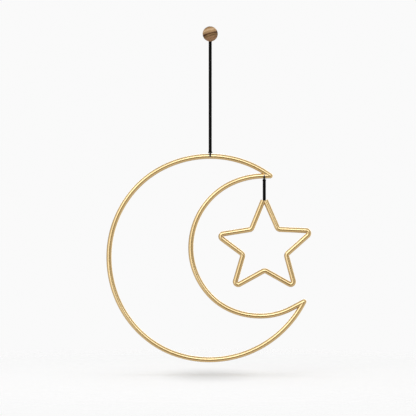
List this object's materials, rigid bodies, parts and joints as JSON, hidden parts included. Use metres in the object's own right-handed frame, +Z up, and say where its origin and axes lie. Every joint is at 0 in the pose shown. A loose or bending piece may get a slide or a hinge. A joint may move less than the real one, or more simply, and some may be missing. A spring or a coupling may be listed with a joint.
{
  "type": "hanging wall ornament",
  "caption": "Crescent moon of bent brass rod hung on a doubled cord from a wooden ball knob on a wall screw, with a bent brass tube star hung on a short cord inside the crescent.",
  "frame": {"origin": "on the screw's axis at the wall plane, where the screw enters the wall", "axes": "+X to the right seen from the front, +Y into the wall along the screw, +Z up; the front faces -Y"},
  "size_m": [0.2497, 0.0463, 0.408],
  "materials": {
    "wood": "turned, clear matt finish with a dark grain band",
    "steel": "zinc plated",
    "cord": "waxed black cord",
    "brass": "satin brushed brass"
  },
  "bodies": {
    "root": {"wooden_knob": "wood", "hanger_screw": "steel"},
    "cord_eye": {"main_cord_eye": "cord"},
    "main_cord": {"main_cord_left_strand": "cord", "main_cord_right_strand": "cord"},
    "cord_knot": {"main_cord_knot": "cord"},
    "moon": {"moon_outer_arc": "brass", "moon_inner_arc": "brass"},
    "star_knot": {"star_cord_knot": "cord"},
    "star_cord": {"star_cord_strands": "cord"},
    "star": {"star_tube": "brass"}
  },
  "joints": [
    {"name": "cord_swing", "type": "hinge", "parent": "root", "child": "cord_eye", "pos_m": [0, -0.00558, 0], "axis": [0, -1, 0], "range_deg": [-45, 45]},
    {"name": "cord_tilt", "type": "hinge", "parent": "cord_eye", "child": "main_cord", "pos_m": [0, -0.00558, -0.0101], "axis": [-1, 0, 0], "range_deg": [0, 35]},
    {"name": "moon_turn", "type": "hinge", "parent": "main_cord", "child": "cord_knot", "pos_m": [0, -0.00558, -0.1417], "axis": [0, 0, 1], "range_deg": [-30, 30]},
    {"name": "moon_rock", "type": "hinge", "parent": "cord_knot", "child": "moon", "pos_m": [0, -0.00558, -0.1481], "axis": [0, -1, 0], "range_deg": [-15, 15]},
    {"name": "star_swing", "type": "hinge", "parent": "moon", "child": "star_knot", "pos_m": [0.06574, -0.00558, -0.17195], "axis": [0, -1, 0], "range_deg": [-15, 25]},
    {"name": "star_tilt", "type": "hinge", "parent": "star_knot", "child": "star_cord", "pos_m": [0.06574, -0.00558, -0.17992], "axis": [-1, 0, 0], "range_deg": [0, 35]},
    {"name": "star_turn", "type": "hinge", "parent": "star_cord", "child": "star", "pos_m": [0.06574, -0.00558, -0.202], "axis": [0, 0, 1], "range_deg": [-45, 45]}
  ]
}
